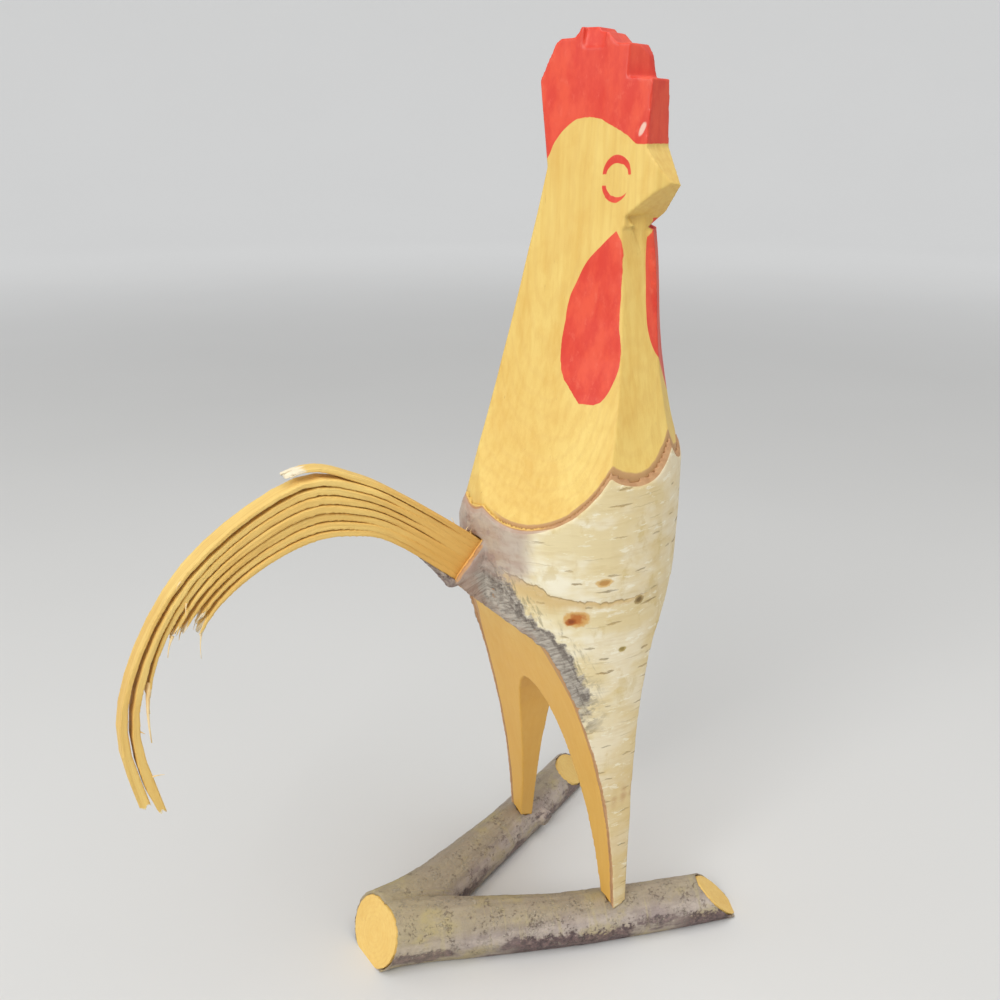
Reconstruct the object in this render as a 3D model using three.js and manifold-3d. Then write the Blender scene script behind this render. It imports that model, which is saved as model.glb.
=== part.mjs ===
// Carved birch rooster on a forked twig, in millimetres.
// +X is the way the bird walks, +Y its left side, +Z up; the log stands on the Z axis while it is carved.
import * as THREE from "three";
import { mergeVertices } from "three/addons/utils/BufferGeometryUtils.js";
import Module from "manifold-3d";

const wasm = await Module();
wasm.setup();

// Heights, stacked from the table upwards
const LEG_HEIGHT = 94; // table to the crotch between the legs
const TRUNK_HEIGHT = 64; // crotch to the neckline on the flanks
const BREAST_RISE = 14; // neckline on the breast above the neckline on the flanks
const BREAST_SLANT = 3; // what the breast's neckline climbs towards the bird's left
const NECK_HEIGHT = 88; // flank neckline to the chin
const BEAK_RISE = 11; // chin to the tip of the beak
const BROW_RISE = 11; // tip of the beak to the root of the comb
const COMB_HEIGHT = 31.5;

// The log and its bark
const LOG_RADIUS = 36; // over the bark, from the neckline up
const LEG_RADIUS = 34.4; // over the bark, at the feet
const BARK = 1.3;
const LOG_SIDES = 56;

// Neck and head, distances from the log's middle line to the knife cuts
const HEAD_TURN = -66; // degrees, the head looks to the bird's right
const FLANK_ANGLE = 84; // facing of the flat cheek and neck sides, off the head's own forward way
const RIGHT_THROAT_ANGLE = 22; // facing of the two throat facets
const LEFT_THROAT_ANGLE = 23;
const NAPE_ANGLE = 150; // facing of the two nape facets
const BEAK_ANGLE = 50; // facing of the beak's sides
const RIGHT_CHEEK = 9.5; // head's half width at the chin, the left side is carved fuller
const LEFT_CHEEK = 14;
const COMB_HALF_WIDTH = 6.5; // at the comb's top
const NECK_HOLLOW = 14.5; // pull of the hollow flank cut
const NECK_SHARE = 0.3; // height of that pull, as a share of the cut
const FLANK_FALL = 1.25; // fall of the flank cut outside the log, for each millimetre outwards
const RIGHT_THROAT = 21.4; // throat facets at the chin
const LEFT_THROAT = 22.4;
const THROAT_HOLLOW = 30.5; // pull of the hollow throat cut
const THROAT_SHARE = 0.12;
const NAPE = 8; // nape facets at the root of the comb
const NAPE_HOLLOW = 27; // pull of the hollow nape cut
const NAPE_DROP = 6; // nape neckline below the flank neckline
const NAPE_SHARE = 0.25;
const NAPE_FALL = 2;
const SHOULDER = 10.5; // small facets between the nape and the flanks, at the same height
const COMB_LEAN = 4; // what the back of the comb leans out by its top
const BEAK_INSET = 0.3; // tip of the beak inside the log's round
const BEAK_TIP_WIDTH = 3;
const BROW_REACH = 26;

// Comb outline from the nape to the brow: [forward of the log's middle, drop below the comb's top]
const COMB_POINTS = [
  [-14, 18.5], [-7.4, 11], [-3.3, 4.1], [-1.7, 2.9], [2.5, 2.7], [4.2, 0], [8.8, 0], [9.4, 1.2],
  [12, 1.4], [14.2, 3.6], [15, 4.4], [19.8, 4.6], [21.4, 7.5], [22.2, 13.2], [26.4, 13.6],
];

// Legs
// Hollows behind and in front start outside the log: [past its round, above the flank neckline]
const REAR_START = [14, -14];
const FRONT_START = [2, 4];
// They turn down into the legs: [forward of the log's middle, above the crotch]
const REAR_BEND = [[-24, 25.5], [-14, 4], [1.5, -44]];
const FRONT_BEND = [[12.5, 24], [7.2, 11], [4.5, -16]];
const REAR_FOOT = -0.2; // forward of the log's middle, at the table
const FRONT_FOOT = 5.6;
const ARCH_FOOT = 29; // half width of the arch between the legs, at the table
const ARCH_SIDE = [0.7, 0.64]; // pull of the arch's sides, as shares of its half width and height
const ARCH_CROWN = 0.48; // pull of its crown, as a share of its half width
const TENON_RADIUS = 2;
const TENON_END = 6.5; // height of the tenon's lower end above the table
const TENON_EDGE = 0.6; // least wood beside the tenon
const SHANK_GRIP = 10; // how far the tenon runs up inside the leg

// Forked twig: middle lines on the table plan and radii over the bark
const STEM_RADIUS = 11.8;
const RIGHT_ARM_RADIUS = 9.4;
const LEFT_ARM_RADIUS = 9;
const ARM_TAPER = 1.1; // what an arm's radius loses along its length
const SOLE_FLAT = 2.2; // planed off under the twig, through its bark
const TWIG_BARK = 1;
const RIGHT_ARM_LINE = [[-92, 3], [-70, 1], [-46, -9], [-16, -21.8], [8, -30.5], [32, -38.2], [60, -46.5]];
const LEFT_ARM_LINE = [[-92, 7], [-70, 6.5], [-47, 13], [-17, 25.6], [8, 36.4], [33, 47.8], [64, 62]];
const STEM_END = [-78.5, 5]; // where the cut ends meet the table
const RIGHT_ARM_END = [49, -43];
const LEFT_ARM_END = [50.5, 56];
const STEM_HEADING = 184; // degrees, the ways that the cut ends face on plan
const ARM_HEADING = -25;
const STEM_BEVEL = 20; // degrees that a cut end leans back from upright
const ARM_BEVEL = 45;
const KNOT_RADIUS = 3.4; // broken side shoot on the left arm
const KNOT_REACH = 11;
const KNOT_WAY = new THREE.Vector3(0.35, -0.9, -0.2);
const KNOT_PLACE = [9, 36.5];

// Tail: splints let into a socket in the stub of the side branch
const BRANCH_RADIUS = 9.2; // under its bark
const BRANCH_FLARE = 5; // wider at the log
const BRANCH_RISE = 42; // degrees above level
const BRANCH_SINK = 6; // where the branch leaves the log, inside its round
const BRANCH_DROP = 21; // root of the branch below the flank neckline
const BRANCH_LENGTH = 14;
const BRANCH_CHEEK = 1.2; // wood left beside the splints where the branch is shaved flat
const SOCKET_DEPTH = 14;
const SPLINT_COUNT = 8;
const SPLINT_WIDTH = 6.8;
const SPLINT_THICKNESS = 1.6;
const SPLINT_STEPS = 26;
const TIP_START = 0.75; // share of a splint's length where its thickness starts to change
// The arch as [beyond the socket's mouth, above it], for the uppermost and the lowest splint
const ARCH_TOP = [
  [19.2, 22.8], [34.2, 32], [50.2, 36.4], [71, 27.8], [90, 12.6], [104.6, -10.5], [111, -32], [108, -58],
];
const ARCH_LOW = [
  [24.5, 11.2], [36.5, 16], [49.5, 16.8], [65.3, 11.6], [78.6, 2.2], [85.8, -10.5], [85, -31], [78, -58],
];
// From the top down: where each splint is broken off, as a share of the arch, and how thick it is there
const SPLINT_ENDS = [0.475, 0.985, 1, 0.83, 0.745, 0.73, 0.71, 0.735];
const SPLINT_TIPS = [0.9, 2.5, 2.4, 0.9, 0.9, 0.9, 0.9, 0.9];

// Fits
const GLUE_GAP = 0.3;
const SOLE_RELIEF = 0.3; // bark kept off the table
const BEYOND = 90; // cutting shapes reach this far past what they cut
const CURVE_STEPS = 9;
const TWIG_SIDES = 18;
const ROUND_SIDES = 20;

const neckline = LEG_HEIGHT + TRUNK_HEIGHT;
const breast = neckline + BREAST_RISE;
const chin = neckline + NECK_HEIGHT;
const beakTip = chin + BEAK_RISE;
const combRoot = beakTip + BROW_RISE;
const top = combRoot + COMB_HEIGHT;
const woodInset = BARK + GLUE_GAP;
const beakReach = LOG_RADIUS - woodInset - BEAK_INSET;

const BIRCH = { color: 0xe8c46e, roughness: 0.62, metalness: 0 };
const SPLINT_WOOD = { color: 0xe6b45f, roughness: 0.66, metalness: 0 };
const BIRCH_BARK = { color: 0xe6d7a0, roughness: 0.75, metalness: 0 };
const TWIG_WOOD = { color: 0xf0c86e, roughness: 0.65, metalness: 0 };
const TWIG_SKIN = { color: 0xaa9b8c, roughness: 0.85, metalness: 0 };

// A closed geometry as a solid that can be cut and joined
function solid(geometry) {
  const bare = geometry.clone();
  bare.deleteAttribute("normal");
  bare.deleteAttribute("uv");
  const merged = mergeVertices(bare, 1e-4);
  const index = merged.index.array;
  const triangles = [];
  for (let i = 0; i < index.length; i += 3) {
    const [a, b, c] = [index[i], index[i + 1], index[i + 2]];
    if (a !== b && b !== c && c !== a) triangles.push(a, b, c);
  }
  return new wasm.Manifold(new wasm.Mesh({
    numProp: 3,
    vertProperties: new Float32Array(merged.attributes.position.array),
    triVerts: new Uint32Array(triangles),
  }));
}

function piece(name, body, finish) {
  const { vertProperties, triVerts, numProp } = body.getMesh();
  const geometry = new THREE.BufferGeometry();
  const positions = new Float32Array((vertProperties.length / numProp) * 3);
  for (let i = 0; i < positions.length / 3; i += 1) {
    positions.set(vertProperties.subarray(i * numProp, i * numProp + 3), i * 3);
  }
  geometry.setAttribute("position", new THREE.BufferAttribute(positions, 3));
  geometry.setIndex(new THREE.BufferAttribute(new Uint32Array(triVerts), 1));
  geometry.computeVertexNormals();
  const mesh = new THREE.Mesh(geometry, new THREE.MeshStandardMaterial(finish));
  mesh.name = name;
  return mesh;
}

// A revolved body about Z from [radius, height] pairs, closed on the axis
function turned(pairs, sides) {
  const low = new THREE.Vector2(0, pairs[0][1]);
  const high = new THREE.Vector2(0, pairs[pairs.length - 1][1]);
  const profile = [low, ...pairs.map(([r, z]) => new THREE.Vector2(r, z)), high];
  return new THREE.LatheGeometry(profile, sides).rotateX(Math.PI / 2);
}

// A profile drawn in an upright plane that faces the given way, drawn out to both sides of that plane
function drawnOut(shape, facing, halfDepth = BEYOND) {
  const options = { depth: 2 * halfDepth, bevelEnabled: false, curveSegments: CURVE_STEPS };
  const geometry = new THREE.ExtrudeGeometry(shape, options);
  geometry.translate(0, 0, -halfDepth);
  geometry.rotateX(Math.PI / 2);
  geometry.rotateZ(THREE.MathUtils.degToRad(facing));
  return geometry;
}

// Everything on the outer side of a plane
function beyondPlane(point, normal, side = 4 * BEYOND) {
  const block = new THREE.BoxGeometry(side, side, side).translate(0, 0, side / 2);
  const turn = new THREE.Quaternion().setFromUnitVectors(new THREE.Vector3(0, 0, 1), normal);
  return solid(block.applyQuaternion(turn).translate(point.x, point.y, point.z));
}

// A limb that follows points with a radius at each, round in section, closed at both ends
function limb(points, radii, sides, steps) {
  const curve = new THREE.CatmullRomCurve3(points);
  const up = new THREE.Vector3(0, 0, 1);
  const positions = [];
  const index = [];
  for (let i = 0; i <= steps; i += 1) {
    const t = i / steps;
    const centre = curve.getPoint(t);
    const along = curve.getTangent(t);
    const across = new THREE.Vector3().crossVectors(along, up).normalize();
    const rise = new THREE.Vector3().crossVectors(across, along);
    const slot = t * (radii.length - 1);
    const before = Math.min(Math.floor(slot), radii.length - 2);
    const radius = THREE.MathUtils.lerp(radii[before], radii[before + 1], slot - before);
    for (let j = 0; j < sides; j += 1) {
      const angle = (2 * Math.PI * j) / sides;
      const spot = centre.clone();
      spot.addScaledVector(across, radius * Math.cos(angle));
      spot.addScaledVector(rise, radius * Math.sin(angle));
      positions.push(spot.x, spot.y, spot.z);
    }
  }
  for (let i = 0; i < steps; i += 1) {
    for (let j = 0; j < sides; j += 1) {
      const a = i * sides + j;
      const b = i * sides + ((j + 1) % sides);
      index.push(a, b + sides, b, a, a + sides, b + sides);
    }
  }
  for (let j = 1; j < sides - 1; j += 1) {
    const last = steps * sides;
    index.push(0, j, j + 1, last, last + j + 1, last + j);
  }
  const geometry = new THREE.BufferGeometry();
  geometry.setAttribute("position", new THREE.Float32BufferAttribute(positions, 3));
  geometry.setIndex(index);
  return solid(geometry);
}

// The round log, less an inset all round
function logBody(inset) {
  return solid(turned([
    [LEG_RADIUS - inset, 0],
    [LEG_RADIUS - inset, LEG_HEIGHT],
    [(LEG_RADIUS + LOG_RADIUS) / 2 - inset, LEG_HEIGHT + TRUNK_HEIGHT / 2],
    [LOG_RADIUS - inset, neckline],
    [LOG_RADIUS - inset, top + GLUE_GAP],
  ], LOG_SIDES));
}

// The side branch that becomes the tail
const branchAngle = THREE.MathUtils.degToRad(BRANCH_RISE);
const branchWay = new THREE.Vector3(-Math.cos(branchAngle), 0, Math.sin(branchAngle));
const branchRoot = new THREE.Vector3(BRANCH_SINK - LOG_RADIUS, 0, neckline - BRANCH_DROP);
const branchMouth = branchRoot.clone().addScaledVector(branchWay, BRANCH_LENGTH);

function branchBody(grown, longer = 0) {
  const heart = branchRoot.clone().addScaledVector(branchWay, -BRANCH_LENGTH);
  const end = branchMouth.clone().addScaledVector(branchWay, longer);
  const radii = [BRANCH_FLARE + BRANCH_RADIUS, BRANCH_FLARE + BRANCH_RADIUS, BRANCH_RADIUS];
  const eased = radii.map((radius) => radius + grown);
  const round = limb([heart, branchRoot, end], eased, ROUND_SIDES, CURVE_STEPS);
  const shaved = SPLINT_WIDTH + 2 * (BRANCH_CHEEK + grown);
  return round.intersect(solid(new THREE.BoxGeometry(4 * BEYOND, shaved, 4 * BEYOND)));
}

// Neck cuts: a hollow sweep that starts at the bark and runs up to the head
function flankCut(side) {
  const cheek = side < 0 ? RIGHT_CHEEK : LEFT_CHEEK;
  const run = THREE.MathUtils.lerp(neckline, chin, NECK_SHARE);
  const shape = new THREE.Shape();
  shape.moveTo(LOG_RADIUS + BEYOND, neckline - BEYOND * FLANK_FALL);
  shape.lineTo(LOG_RADIUS, neckline);
  shape.quadraticCurveTo(NECK_HOLLOW, run, cheek, chin);
  shape.lineTo(COMB_HALF_WIDTH, top);
  shape.lineTo(COMB_HALF_WIDTH, top + BEYOND);
  shape.lineTo(LOG_RADIUS + BEYOND, top + BEYOND);
  return solid(drawnOut(shape, HEAD_TURN + side * FLANK_ANGLE));
}

function throatCut(side) {
  const throat = side < 0 ? RIGHT_THROAT : LEFT_THROAT;
  const angle = side < 0 ? -RIGHT_THROAT_ANGLE : LEFT_THROAT_ANGLE;
  const start = side < 0 ? breast : breast + BREAST_SLANT;
  const run = THREE.MathUtils.lerp(start, chin, THROAT_SHARE);
  const beakSlope = BEAK_RISE / (beakReach - RIGHT_THROAT);
  const shape = new THREE.Shape();
  shape.moveTo(LOG_RADIUS + BEYOND, start - BEYOND);
  shape.lineTo(LOG_RADIUS, start);
  shape.quadraticCurveTo(THROAT_HOLLOW, run, throat, chin);
  shape.lineTo(LOG_RADIUS + BEYOND, chin + (LOG_RADIUS + BEYOND - throat) * beakSlope);
  return solid(drawnOut(shape, HEAD_TURN + angle));
}

function napeCut(side) {
  return backCut(side * NAPE_ANGLE, neckline - NAPE_DROP, NAPE_HOLLOW, NAPE);
}

function shoulderCut(side) {
  const angle = (FLANK_ANGLE + NAPE_ANGLE) / 2;
  return backCut(side * angle, neckline, NAPE_HOLLOW + SHOULDER - NAPE, SHOULDER);
}

function backCut(angle, start, hollow, reach) {
  const end = combRoot - BEAK_RISE / 2;
  const shape = new THREE.Shape();
  shape.moveTo(LOG_RADIUS + BEYOND, start - BEYOND * NAPE_FALL);
  shape.lineTo(LOG_RADIUS, start);
  shape.quadraticCurveTo(hollow, THREE.MathUtils.lerp(start, end, NAPE_SHARE), reach, end);
  shape.lineTo(reach + COMB_LEAN, top);
  shape.lineTo(LOG_RADIUS + BEYOND, top);
  return solid(drawnOut(shape, HEAD_TURN + angle));
}

function beakCut(side) {
  const angle = THREE.MathUtils.degToRad(BEAK_ANGLE);
  const reach = beakReach * Math.cos(angle) + (BEAK_TIP_WIDTH / 2) * Math.sin(angle);
  const shape = new THREE.Shape();
  shape.moveTo(reach, chin - BEAK_RISE / 2);
  shape.lineTo(reach, top + BEYOND);
  shape.lineTo(reach + BEYOND, top + BEYOND);
  shape.lineTo(reach + BEYOND, chin - BEAK_RISE / 2);
  return solid(drawnOut(shape, HEAD_TURN + side * BEAK_ANGLE));
}

// Side view of beak, brow and comb, as the shape that is kept
function headOutline() {
  const shape = new THREE.Shape();
  const [, napeDrop] = COMB_POINTS[0];
  shape.moveTo(-BEYOND, 0);
  shape.lineTo(BEYOND, 0);
  shape.lineTo(BEYOND, chin - BEAK_RISE / 2);
  shape.lineTo(beakReach, chin - BEAK_RISE / 2);
  shape.lineTo(beakReach, beakTip);
  shape.lineTo(BROW_REACH, combRoot);
  for (const [forward, drop] of COMB_POINTS.toReversed()) shape.lineTo(forward, top - drop);
  shape.lineTo(-BEYOND, top - napeDrop);
  return solid(drawnOut(shape, HEAD_TURN));
}

// Hollows that leave two tapering legs, and the arch between them
function legHollow(side, [past, above], bend, foot) {
  const far = side * (LOG_RADIUS + BEYOND);
  const start = neckline + above;
  const [turn, pull, run] = bend.map(([x, z]) => new THREE.Vector2(x, LEG_HEIGHT + z));
  const shape = new THREE.Shape();
  shape.moveTo(side * (LOG_RADIUS + past), start);
  shape.lineTo(turn.x, turn.y);
  shape.bezierCurveTo(pull.x, pull.y, run.x, run.y, foot, 0);
  shape.lineTo(foot, -BEYOND);
  shape.lineTo(far, -BEYOND);
  shape.lineTo(far, start);
  return solid(drawnOut(shape, 0));
}

function legArch() {
  const [pull, rise] = [ARCH_FOOT * ARCH_SIDE[0], LEG_HEIGHT * ARCH_SIDE[1]];
  const crown = ARCH_FOOT * ARCH_CROWN;
  const shape = new THREE.Shape();
  shape.moveTo(-ARCH_FOOT, -BEYOND);
  shape.lineTo(-ARCH_FOOT, 0);
  shape.bezierCurveTo(-pull, rise, -crown, LEG_HEIGHT, 0, LEG_HEIGHT);
  shape.bezierCurveTo(crown, LEG_HEIGHT, pull, rise, ARCH_FOOT, 0);
  shape.lineTo(ARCH_FOOT, -BEYOND);
  return solid(drawnOut(shape, 90));
}

// Forked twig over its bark, less an inset all round
function armBody(line, radius, inset) {
  const union = [STEM_RADIUS, STEM_RADIUS, (STEM_RADIUS + radius) / 2];
  const taper = ARM_TAPER / (line.length - union.length);
  const radii = line.map((_, i) => union[i] ?? radius - taper * (i - union.length));
  const points = line.map(([x, y], i) => new THREE.Vector3(x, y, radii[i] - SOLE_FLAT));
  return limb(points, radii.map((over) => over - inset), TWIG_SIDES, 2 * (line.length - 1));
}

function endCut([x, y], heading, bevel) {
  const lean = THREE.MathUtils.degToRad(bevel);
  const turn = THREE.MathUtils.degToRad(heading);
  const level = Math.cos(lean);
  const normal = new THREE.Vector3(level * Math.cos(turn), level * Math.sin(turn), Math.sin(lean));
  return beyondPlane(new THREE.Vector3(x, y, 0), normal, BEYOND);
}

function forkBody(inset) {
  const knotRoot = new THREE.Vector3(...KNOT_PLACE, LEFT_ARM_RADIUS);
  const knotTip = knotRoot.clone().add(KNOT_WAY.clone().multiplyScalar(KNOT_REACH - inset));
  const knotRadii = [KNOT_RADIUS + TWIG_BARK - inset, KNOT_RADIUS - inset];
  return armBody(RIGHT_ARM_LINE, RIGHT_ARM_RADIUS, inset)
    .add(armBody(LEFT_ARM_LINE, LEFT_ARM_RADIUS, inset))
    .add(limb([knotRoot, knotTip], knotRadii, TWIG_SIDES / 2, 1));
}

function cutToLength(fork) {
  return fork
    .subtract(endCut(STEM_END, STEM_HEADING, STEM_BEVEL))
    .subtract(endCut(RIGHT_ARM_END, ARM_HEADING, ARM_BEVEL))
    .subtract(endCut(LEFT_ARM_END, ARM_HEADING, ARM_BEVEL));
}

const tenonSpread = LEG_RADIUS - BARK - GLUE_GAP - TENON_RADIUS - TENON_EDGE;
const tenonForward = (REAR_FOOT + FRONT_FOOT) / 2;
const shankFoot = 2 * RIGHT_ARM_RADIUS;

function tenons(gap) {
  const pairs = [
    [TENON_RADIUS + gap, TENON_END - gap],
    [TENON_RADIUS + gap, shankFoot + SHANK_GRIP],
  ];
  const right = turned(pairs, ROUND_SIDES).translate(tenonForward, -tenonSpread, 0);
  const left = turned(pairs, ROUND_SIDES).translate(tenonForward, tenonSpread, 0);
  return solid(right).add(solid(left));
}

// Splints of the tail
const pitch = SPLINT_THICKNESS + GLUE_GAP;
const stack = SPLINT_COUNT * pitch - GLUE_GAP;
const stackWay = new THREE.Vector3(Math.sin(branchAngle), 0, Math.cos(branchAngle));

function socketCut() {
  const long = SOCKET_DEPTH + BEYOND;
  const block = new THREE.BoxGeometry(long, SPLINT_WIDTH + 2 * GLUE_GAP, stack + 2 * GLUE_GAP);
  block.translate(-long / 2 + SOCKET_DEPTH + GLUE_GAP, 0, 0);
  block.rotateY(branchAngle);
  return solid(block.translate(branchMouth.x, 0, branchMouth.z));
}

function splintPath(order) {
  const share = order / (SPLINT_COUNT - 1);
  const offset = stack / 2 - SPLINT_THICKNESS / 2 - order * pitch;
  const mouth = branchMouth.clone().addScaledVector(stackWay, offset);
  const seat = mouth.clone().addScaledVector(branchWay, -SOCKET_DEPTH);
  const arch = ARCH_TOP.map(([back, rise], i) => new THREE.Vector3(
    branchMouth.x - THREE.MathUtils.lerp(back, ARCH_LOW[i][0], share),
    0,
    branchMouth.z + THREE.MathUtils.lerp(rise, ARCH_LOW[i][1], share),
  ));
  return new THREE.CatmullRomCurve3([seat, mouth, ...arch], false, "catmullrom", 0.5);
}

function splint(order) {
  const path = splintPath(order);
  const upper = [];
  const lower = [];
  for (let i = 0; i <= SPLINT_STEPS; i += 1) {
    const share = i / SPLINT_STEPS;
    const t = share * SPLINT_ENDS[order];
    const spot = path.getPoint(t);
    const along = path.getTangent(t);
    const ending = THREE.MathUtils.smoothstep(share, TIP_START, 1);
    const half = THREE.MathUtils.lerp(SPLINT_THICKNESS, SPLINT_TIPS[order], ending) / 2;
    upper.push(new THREE.Vector2(spot.x + along.z * half, spot.z - along.x * half));
    lower.push(new THREE.Vector2(spot.x - along.z * half, spot.z + along.x * half));
  }
  const shape = new THREE.Shape([...upper, ...lower.toReversed()]);
  return solid(drawnOut(shape, 0, SPLINT_WIDTH / 2));
}

const down = new THREE.Vector3(0, 0, -1);
const belowTwig = beyondPlane(new THREE.Vector3(0, 0, LEFT_ARM_RADIUS), down);
const table = beyondPlane(new THREE.Vector3(0, 0, 0), down);
const barkSole = beyondPlane(new THREE.Vector3(0, 0, SOLE_RELIEF), down);

// The knife cuts, made through wood and bark alike
const neckCuts = [flankCut, throatCut, shoulderCut, napeCut, beakCut];

function carve(body) {
  let carved = body.intersect(headOutline());
  for (const side of [-1, 1]) {
    for (const cut of neckCuts) carved = carved.subtract(cut(side));
  }
  return carved
    .subtract(legHollow(-1, REAR_START, REAR_BEND, REAR_FOOT))
    .subtract(legHollow(1, FRONT_START, FRONT_BEND, FRONT_FOOT))
    .subtract(legArch())
    .subtract(socketCut())
    .subtract(forkBody(-GLUE_GAP))
    .subtract(belowTwig);
}

const logWood = carve(logBody(woodInset).add(branchBody(0)))
  .add(tenons(0));
const barkBody = logBody(0).add(branchBody(woodInset));
const trunkBark = carve(barkBody.subtract(logBody(BARK)).subtract(branchBody(GLUE_GAP, GLUE_GAP)));
const forkWood = cutToLength(forkBody(TWIG_BARK + GLUE_GAP)).subtract(tenons(GLUE_GAP)).subtract(table);
const forkBark = cutToLength(forkBody(0).subtract(forkBody(TWIG_BARK)))
  .subtract(tenons(GLUE_GAP))
  .subtract(barkSole);

const rooster = new THREE.Group();
rooster.add(piece("fork_wood", forkWood, TWIG_WOOD));
rooster.add(piece("fork_bark", forkBark, TWIG_SKIN));
rooster.add(piece("carved_log", logWood, BIRCH));
rooster.add(piece("trunk_bark", trunkBark, BIRCH_BARK));
for (let order = 0; order < SPLINT_COUNT; order += 1) {
  rooster.add(piece(`tail_splint_${order + 1}`, splint(order), SPLINT_WOOD));
}

// The origin is the middle of the footprint box, on the table
const box = new THREE.Box3().setFromObject(rooster);
rooster.position.set(-(box.min.x + box.max.x) / 2, -(box.min.y + box.max.y) / 2, -box.min.z);

export default rooster;
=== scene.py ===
"""Looks of the carved birch rooster: knife-cut wood, red paint, birch bark, split tail and twig base."""
import math

import bmesh
import bpy
from mathutils import Matrix, Vector, kdtree, noise
from mathutils.bvhtree import BVHTree


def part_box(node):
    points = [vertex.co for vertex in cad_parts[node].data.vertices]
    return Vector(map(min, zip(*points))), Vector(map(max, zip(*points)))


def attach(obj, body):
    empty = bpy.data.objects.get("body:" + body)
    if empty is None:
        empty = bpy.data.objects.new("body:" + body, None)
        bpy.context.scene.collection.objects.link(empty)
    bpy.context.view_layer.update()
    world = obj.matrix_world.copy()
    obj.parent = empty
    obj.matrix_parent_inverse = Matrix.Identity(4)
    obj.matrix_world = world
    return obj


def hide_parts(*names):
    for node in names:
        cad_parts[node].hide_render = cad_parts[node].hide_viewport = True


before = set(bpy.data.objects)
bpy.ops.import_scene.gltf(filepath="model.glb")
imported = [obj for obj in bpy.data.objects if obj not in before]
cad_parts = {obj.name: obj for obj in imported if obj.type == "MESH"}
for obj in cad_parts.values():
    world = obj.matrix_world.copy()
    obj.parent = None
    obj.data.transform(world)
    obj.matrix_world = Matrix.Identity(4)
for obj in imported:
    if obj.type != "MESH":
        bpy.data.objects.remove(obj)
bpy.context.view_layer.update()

# Sizes in millimetres from the log's middle line, which stands on the table
MM = 0.001
bark_low, bark_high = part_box("trunk_bark")
LOG_RADIUS = 36.0
LEG_RADIUS = 34.4
CROTCH = 94.0
NECKLINE = 158.0
LOG_MIDDLE = Vector((bark_high.x / MM - LOG_RADIUS, (bark_low.y + bark_high.y) / 2 / MM, 0))
HEAD_TURN = math.radians(-66)
HEAD_FORWARD = Vector((math.cos(HEAD_TURN), math.sin(HEAD_TURN), 0))
HEAD_LEFT = Vector((-math.sin(HEAD_TURN), math.cos(HEAD_TURN), 0))
BRANCH_RISE = math.radians(42)
BRANCH_WAY = Vector((-math.cos(BRANCH_RISE), 0, math.sin(BRANCH_RISE)))
BRANCH_ROOT = Vector((-30, 0, 137))
BRANCH_LENGTH = 14.0

# Rough ridge below the tail, its upper edge: (height, forward of the log's middle)
RIDGE_EDGE = [
    (90, -11), (103, -12.8), (115, -16.7), (124, -21.6), (129, -26.5), (136, -30.3), (148, -34), (160, -36),
]
RIDGE_SPAN = ((90, -40), (160, -10))  # lowest and highest of both numbers
RIDGE_WAY = Vector((22, 0, -48)).normalized()
RIDGE_ACROSS = Vector((48, 0, 22)).normalized()
# The near side of the bark, from the tail round to the breast
NEAR_WAY = Vector((0.86, -0.51, 0))

TAIL_SPLINTS = [f"tail_splint_{n}" for n in range(1, 9)]
SPLINT_HALF = 0.8
SPLINT_ENDS = [0.9, 2.5, 2.4, 0.9, 0.9, 0.9, 0.9, 0.9]  # thickness at the broken ends

# Grid of each fine mesh in millimetres, and the share of its faces that is kept
BIRD_MESH = (0.45, 0.34)
JACKET_MESH = (0.42, 0.4)
TWIG_MESH = (0.5, 0.4)
STRIP_MESH = (0.4, 0.8)


# Mesh work

def piece_from(shape, name):
    """A new piece with this shape, which is then freed."""
    mesh = bpy.data.meshes.new(name)
    shape.to_mesh(mesh)
    shape.free()
    piece = bpy.data.objects.new(name, mesh)
    bpy.context.scene.collection.objects.link(piece)
    return piece


def merged_shape(node):
    """The shape of a CAD node with its loose triangles joined."""
    shape = bmesh.new()
    shape.from_mesh(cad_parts[node].data)
    bmesh.ops.remove_doubles(shape, verts=shape.verts, dist=1e-6)
    return shape


def settle(piece):
    """Applies a piece's modifiers to its mesh."""
    graph = bpy.context.evaluated_depsgraph_get()
    finished = bpy.data.meshes.new_from_object(piece.evaluated_get(graph))
    piece.modifiers.clear()
    finished.name = piece.name
    piece.data = finished


def refine(piece, grid, keep):
    """An even fine mesh over the same shape, thinned to a share of its faces and softened once."""
    even = piece.modifiers.new("even", "REMESH")
    even.mode = "VOXEL"
    even.voxel_size = grid * MM
    settle(piece)
    thin = piece.modifiers.new("thin", "DECIMATE")
    thin.ratio = keep
    settle(piece)
    shape = bmesh.new()
    shape.from_mesh(piece.data)
    axes = {"use_axis_x": True, "use_axis_y": True, "use_axis_z": True}
    bmesh.ops.smooth_vert(shape, verts=shape.verts, factor=0.5, **axes)
    shape.to_mesh(piece.data)
    shape.free()


def push(piece, depth):
    """Moves each point along its normal by depth(place, normal), in mm from the log's middle line."""
    mesh = piece.data
    moved = [v.co + v.normal * (depth(v.co / MM - LOG_MIDDLE, v.normal) * MM) for v in mesh.vertices]
    for v, place in zip(mesh.vertices, moved):
        v.co = place
    mesh.update()


def seat_on(piece, node, reach=0.5, share=0.9):
    """Closes the glue gap between a skin and the wood it covers."""
    shape = merged_shape(node)
    wood = BVHTree.FromBMesh(shape)
    for v in piece.data.vertices:
        nearest, _, _, _ = wood.find_nearest(v.co, reach * MM)
        if nearest is not None:
            v.co = v.co.lerp(nearest, share)
    shape.free()
    piece.data.update()


def smooth_faces(piece):
    piece.data.polygons.foreach_set("use_smooth", [True] * len(piece.data.polygons))
    piece.data.update()


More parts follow.
